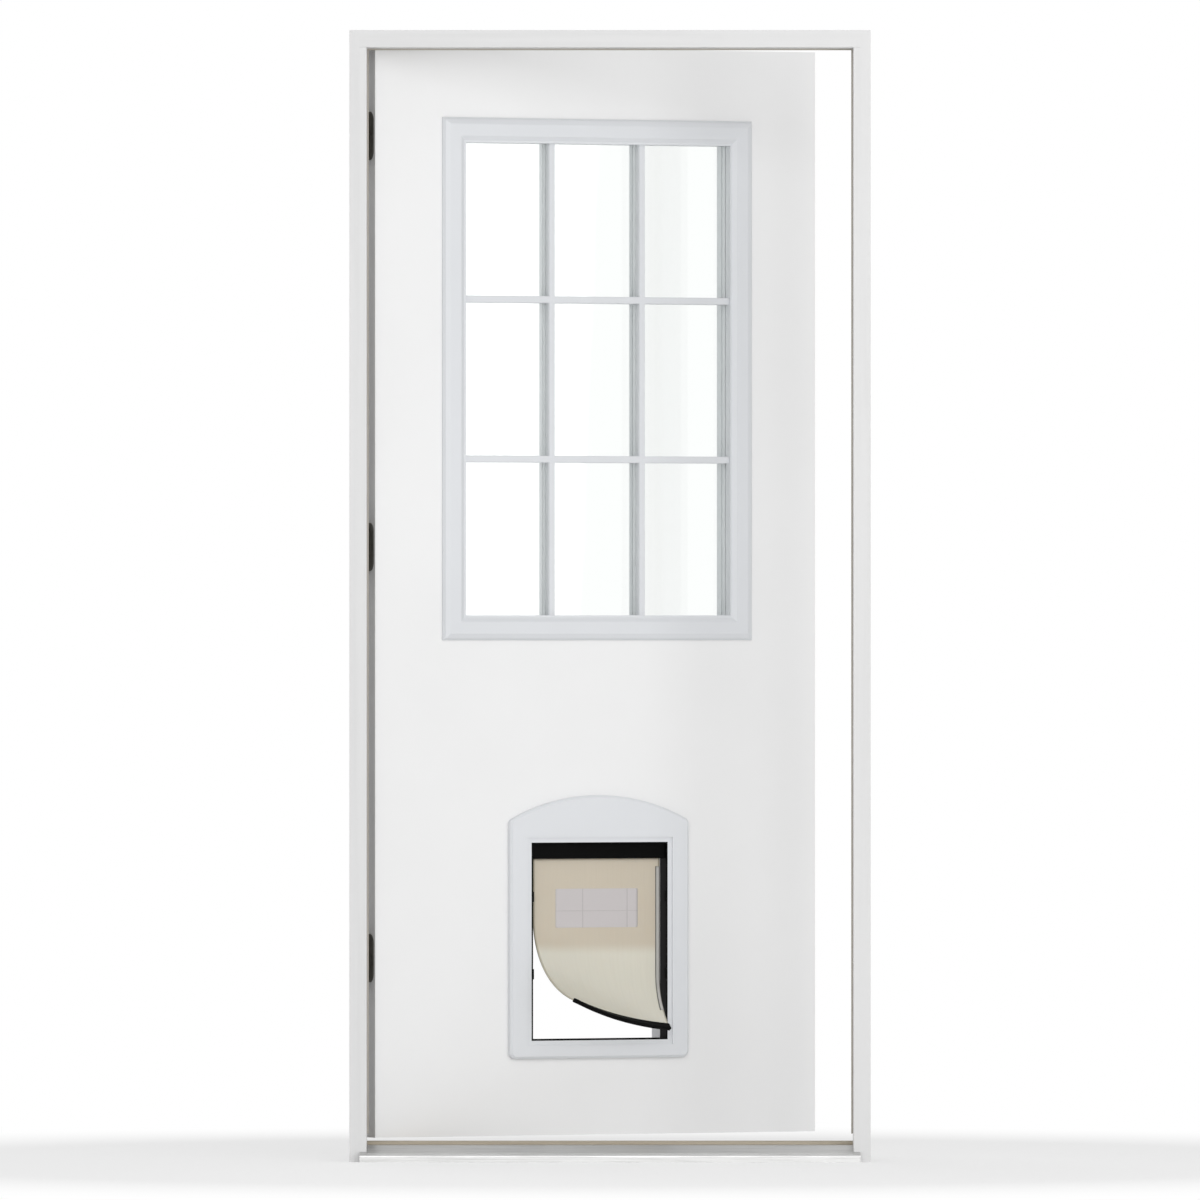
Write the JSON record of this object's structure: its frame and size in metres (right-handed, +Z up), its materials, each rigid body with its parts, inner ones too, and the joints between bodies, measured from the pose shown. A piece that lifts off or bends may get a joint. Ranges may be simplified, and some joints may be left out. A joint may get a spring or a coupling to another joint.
{
  "type": "prehung front door",
  "caption": "White prehung front door, ajar in its rabbeted frame, with a barred window above and an arched pet door whose vinyl flap curls outwards.",
  "frame": {"origin": "underside of the sill, at the middle of the doorway's width and of the jamb's depth", "axes": "+X to the right seen from outside, +Y indoors, +Z up"},
  "size_m": [0.9564, 0.5439, 2.0763],
  "materials": {
    "jamb_paint": "white primed and painted",
    "sill_metal": "mill finish, ribbed tread",
    "sill_cap": "composite cap",
    "weatherstrip": "soft foam bulb with a tan film",
    "hinge_metal": "satin pewter",
    "door_paint": "smooth white satin skin",
    "edge_paint": "white painted edge",
    "foam": "rigid foam",
    "window_plastic": "moulded white plastic",
    "window_glass": "clear",
    "spacer_metal": "satin",
    "pet_plastic": "moulded white plastic",
    "black_plastic": "black, slightly satin",
    "flap_vinyl": "translucent tan vinyl, curled"
  },
  "bodies": {
    "frame": {"hinge_jamb": "jamb_paint", "strike_jamb": "jamb_paint", "head_jamb": "jamb_paint", "sill": "sill_metal", "sill_cap": "sill_cap", "hinge_weatherstrip": "weatherstrip", "strike_weatherstrip": "weatherstrip", "head_weatherstrip": "weatherstrip", "lower_jamb_leaf": "hinge_metal", "middle_jamb_leaf": "hinge_metal", "upper_jamb_leaf": "hinge_metal", "lower_hinge_pin": "hinge_metal", "middle_hinge_pin": "hinge_metal", "upper_hinge_pin": "hinge_metal"},
    "door": {"outdoor_skin": "door_paint", "indoor_skin": "door_paint", "hinge_stile": "edge_paint", "lock_stile": "edge_paint", "top_rail": "edge_paint", "bottom_rail": "edge_paint", "foam_core": "foam", "outdoor_lite_frame": "window_plastic", "indoor_lite_frame": "window_plastic", "outdoor_grille": "window_plastic", "indoor_grille": "window_plastic", "outdoor_glass": "window_glass", "indoor_glass": "window_glass", "glass_spacer": "spacer_metal", "outdoor_pet_frame": "pet_plastic", "indoor_pet_frame": "pet_plastic", "pet_tunnel": "pet_plastic", "flap_ring": "black_plastic", "flap_bar": "black_plastic", "lower_door_leaf": "hinge_metal", "middle_door_leaf": "hinge_metal", "upper_door_leaf": "hinge_metal"},
    "flap": {"pet_flap": "flap_vinyl", "flap_magnet": "black_plastic"}
  },
  "joints": [
    {"name": "door_swing", "type": "hinge", "parent": "frame", "child": "door", "pos_m": [-0.4566, 0.065, 0.372], "axis": [0, 0, 1], "range_deg": [-26, 84]},
    {"name": "flap_swing", "type": "hinge", "parent": "door", "child": "flap", "pos_m": [-0.02539, 0.22247, 0.5518], "axis": [0.8988, 0.4384, 0], "range_deg": [-75, 75]}
  ]
}
